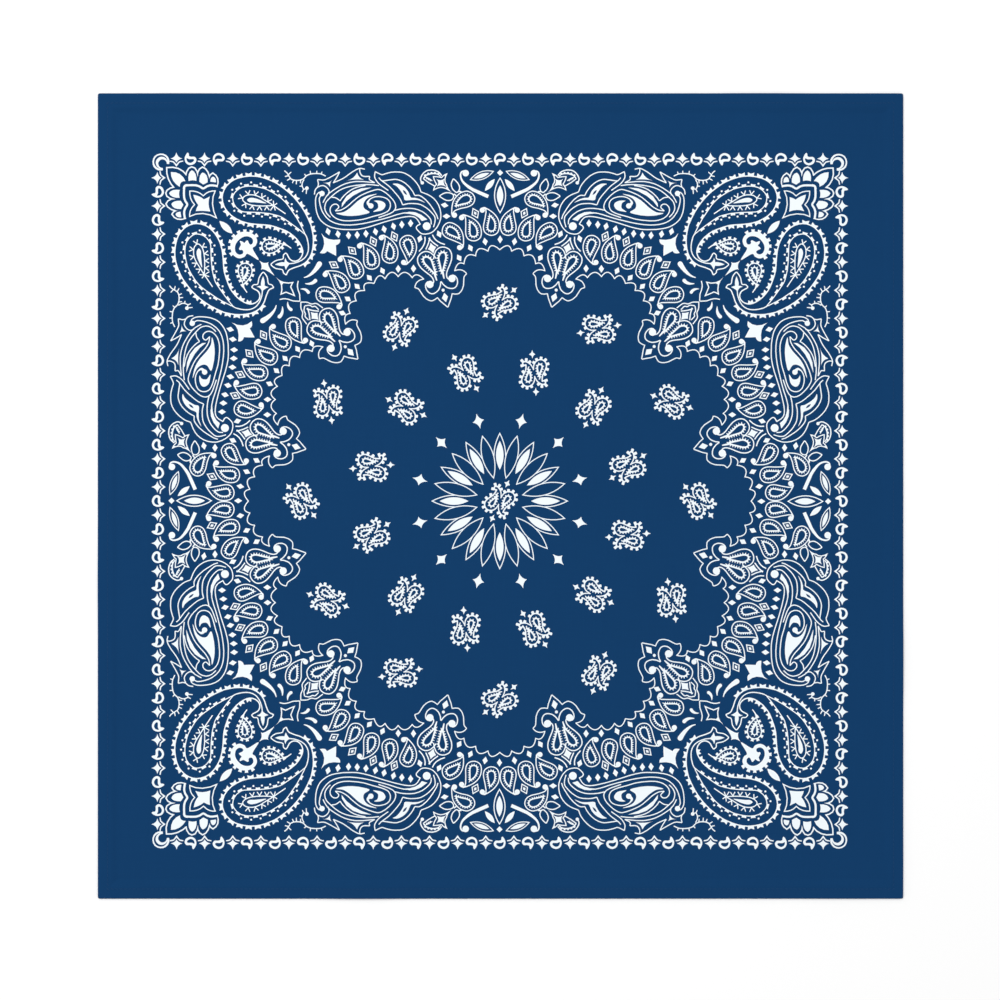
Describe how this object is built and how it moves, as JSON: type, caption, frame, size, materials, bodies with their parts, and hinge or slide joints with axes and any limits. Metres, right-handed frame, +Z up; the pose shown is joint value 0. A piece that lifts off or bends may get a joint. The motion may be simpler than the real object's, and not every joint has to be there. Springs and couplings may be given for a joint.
{
  "type": "paisley bandana",
  "caption": "Square cotton bandana lying flat, with narrow hems turned under on all four edges and a paisley print on its face.",
  "frame": {"origin": "under the middle of the cloth, on the surface that it lies on", "axes": "+Z up through the cloth, out of its printed face; +X to the right and +Y to the top of the print"},
  "size_m": [0.559, 0.559, 0.0032],
  "materials": {
    "dyed_cotton": "matt plain-weave cotton, dyed navy",
    "print_white": "matt white print in the cotton",
    "hem_thread": "spun navy sewing thread"
  },
  "bodies": {
    "root": {"panel": "dyed_cotton", "hem_left": "dyed_cotton", "hem_right": "dyed_cotton", "hem_bottom": "dyed_cotton", "hem_top": "dyed_cotton"}
  },
  "joints": []
}
